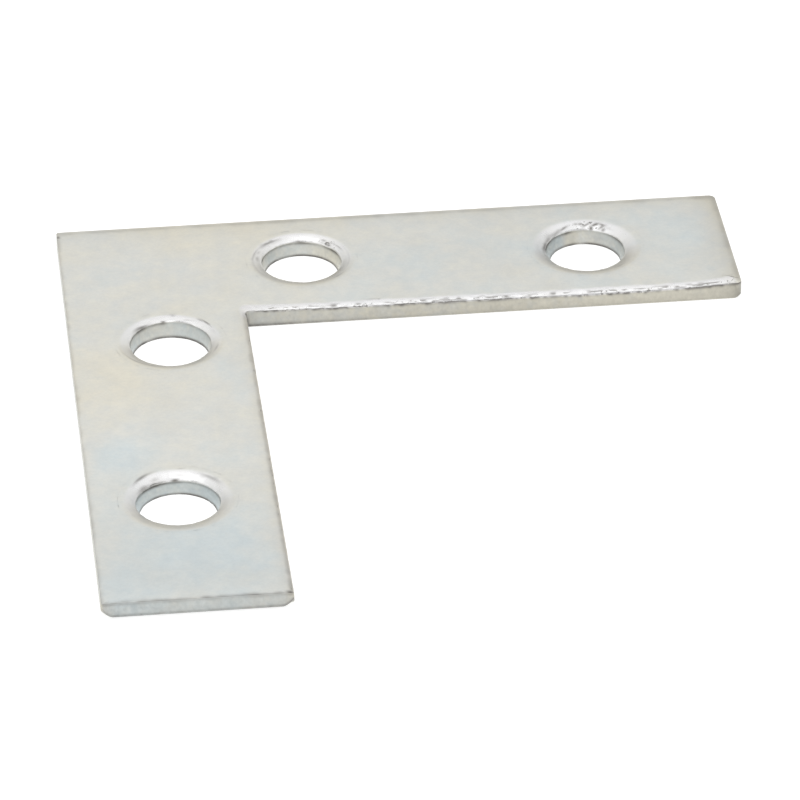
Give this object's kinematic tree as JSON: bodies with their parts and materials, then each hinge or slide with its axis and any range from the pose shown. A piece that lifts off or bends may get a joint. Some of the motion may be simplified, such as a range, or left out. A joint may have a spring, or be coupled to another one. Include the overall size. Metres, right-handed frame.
{
  "type": "angle plate",
  "caption": "Flat L-shaped angle plate of thin zinc-plated steel sheet, with countersunk screw holes along both legs, for fastening across a corner joint.",
  "frame": {"origin": "where the centre lines of the two legs cross, on the underside", "axes": "one leg runs along +X and the other along -Y; +Z points out of the countersunk top face"},
  "size_m": [0.038, 0.038, 0.001],
  "materials": {
    "zinc_plated_steel": "bright zinc plating, satin, with a faint blue and yellow tint"
  },
  "bodies": {
    "root": {"angle_plate": "zinc_plated_steel"}
  },
  "joints": []
}
